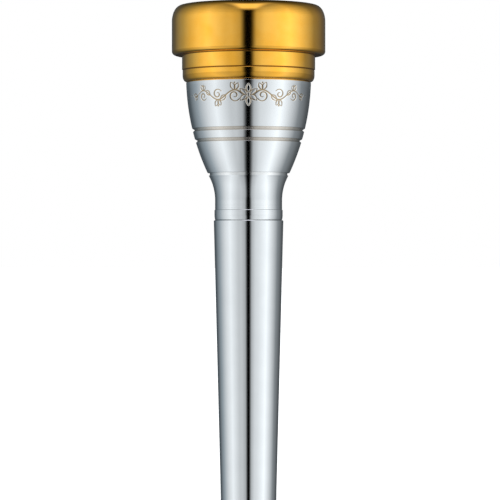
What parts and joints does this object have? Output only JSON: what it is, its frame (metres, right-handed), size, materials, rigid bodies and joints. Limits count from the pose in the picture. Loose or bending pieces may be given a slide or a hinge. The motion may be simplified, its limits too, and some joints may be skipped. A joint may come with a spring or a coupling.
{
  "type": "trumpet mouthpiece",
  "caption": "Sectional trumpet mouthpiece: a gold-plated screw rim on a silver-plated cup with bowl and throat, screwed on a tapered backbore, with real threads and a seal ring in each joint.",
  "frame": {"origin": "centre of the shank's tip, in the plane of its end face, where the instrument's receiver holds the mouthpiece", "axes": "+Z along the bore from the shank's tip to the rim; the object is turned about Z, so X and Y are free"},
  "size_m": [0.027, 0.027, 0.088],
  "materials": {
    "gold_plate": "polished gold plate on turned brass",
    "silver_plate": "polished silver plate on turned brass",
    "nitrile": "satin black nitrile rubber"
  },
  "bodies": {
    "backbore": {"backbore": "silver_plate"},
    "cup_seal": {"cup_seal": "nitrile"},
    "cup": {"cup": "silver_plate"},
    "rim_seal": {"rim_seal": "nitrile"},
    "rim": {"rim": "gold_plate"}
  },
  "joints": [
    {"name": "cup_lift", "type": "slide", "parent": "backbore", "child": "cup_seal", "axis": [0, 0, 1], "range_m": [0, 0.01]},
    {"name": "cup_turn", "type": "hinge", "parent": "cup_seal", "child": "cup", "pos_m": [0, 0, 0.05025], "axis": [0, 0, 1], "range_deg": [0, 3600]},
    {"name": "rim_lift", "type": "slide", "parent": "cup", "child": "rim_seal", "axis": [0, 0, 1], "range_m": [0, 0.0075]},
    {"name": "rim_turn", "type": "hinge", "parent": "rim_seal", "child": "rim", "pos_m": [0, 0, 0.07465], "axis": [0, 0, 1], "range_deg": [0, 2700]}
  ],
  "couplings": [
    {"joint": "cup_turn", "follows": "cup_lift", "rad_per_m": 6283.2},
    {"joint": "rim_turn", "follows": "rim_lift", "rad_per_m": 6283.2}
  ]
}
